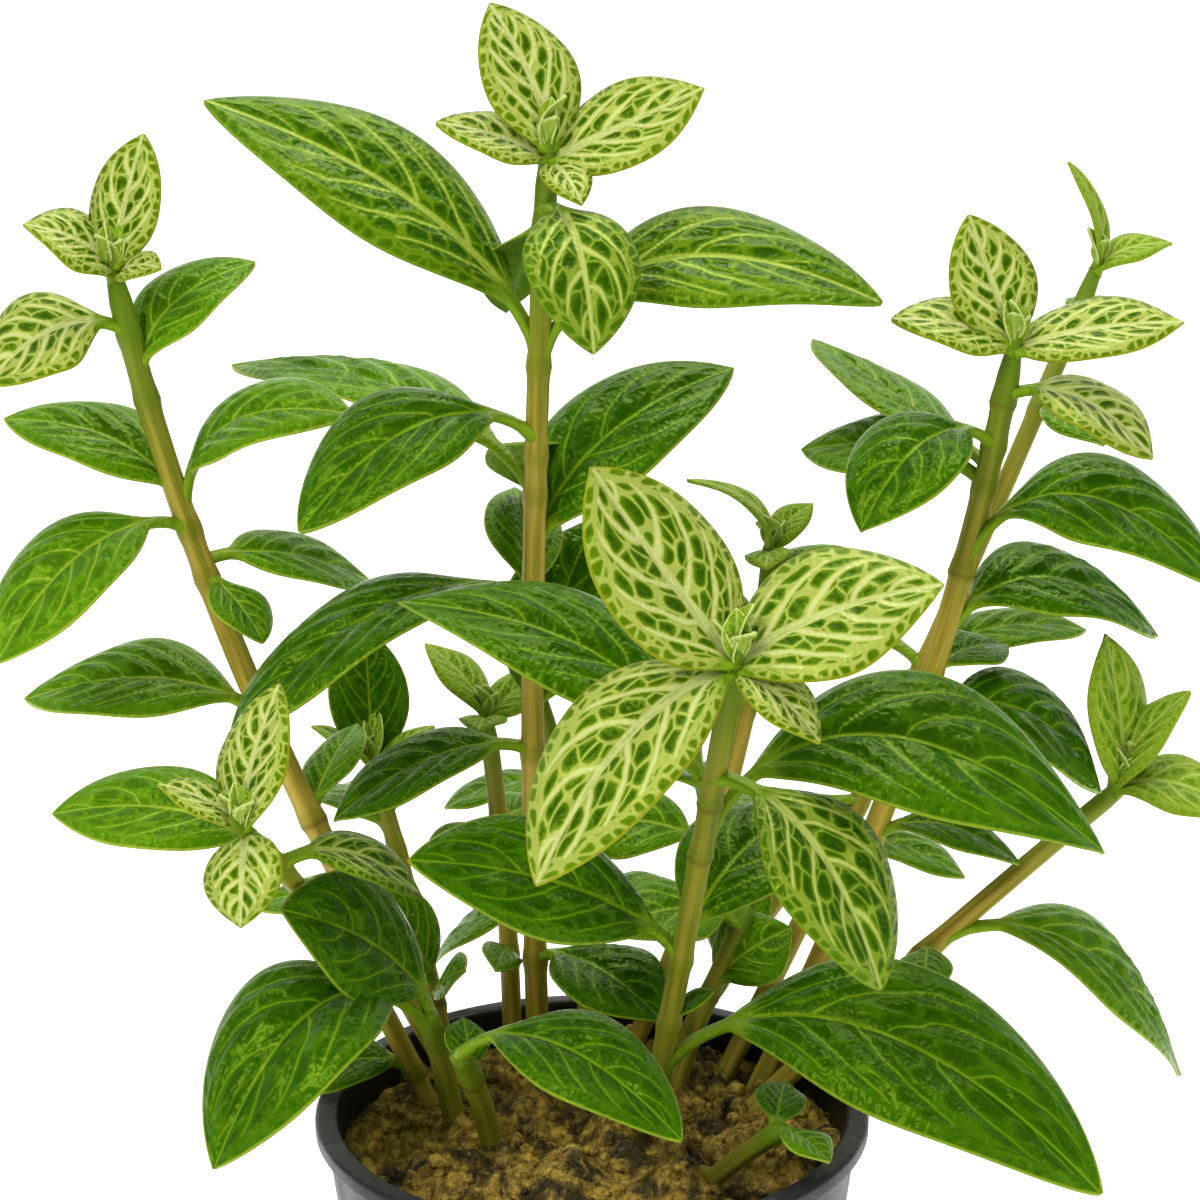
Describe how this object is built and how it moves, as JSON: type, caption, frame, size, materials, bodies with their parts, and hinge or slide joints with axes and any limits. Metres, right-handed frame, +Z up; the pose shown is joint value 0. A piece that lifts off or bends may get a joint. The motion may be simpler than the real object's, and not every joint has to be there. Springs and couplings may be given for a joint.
{
  "type": "potted hygrophila",
  "caption": "Bushy water plant with variegated, net-veined leaves in opposite pairs on upright stems, growing from a rock wool plug in a small round black plastic pot.",
  "frame": {"origin": "centre of the underside of the pot, on the surface it stands on", "axes": "+Z up along the pot's middle axis, +X to the right and +Y away from the viewer in the picture"},
  "size_m": [0.1248, 0.0888, 0.155],
  "materials": {
    "pot_plastic": "satin",
    "rock_wool": "matte",
    "green_leaf": "satin",
    "pale_leaf": "satin"
  },
  "bodies": {
    "root": {"crown_back_left": "pale_leaf", "crown_back_mid": "pale_leaf", "crown_back_right": "pale_leaf", "crown_front": "pale_leaf", "crown_low_left": "pale_leaf", "crown_low_right": "pale_leaf", "crown_main": "pale_leaf", "crown_rear_left": "pale_leaf", "crown_rear_mid": "pale_leaf", "crown_rear_right": "pale_leaf", "crown_tall_left": "pale_leaf", "crown_tall_right": "pale_leaf", "pot": "pot_plastic", "stem_back_left": "green_leaf", "stem_back_mid": "green_leaf", "stem_back_right": "green_leaf", "stem_front": "green_leaf", "stem_low_left": "green_leaf", "stem_low_right": "green_leaf", "stem_main": "green_leaf", "stem_middle": "green_leaf", "stem_rear_left": "green_leaf", "stem_rear_mid": "green_leaf", "stem_rear_right": "green_leaf", "stem_short_front": "green_leaf", "stem_short_left": "green_leaf", "stem_short_right": "green_leaf", "stem_tall_left": "green_leaf", "stem_tall_right": "green_leaf", "substrate": "rock_wool"}
  },
  "joints": []
}
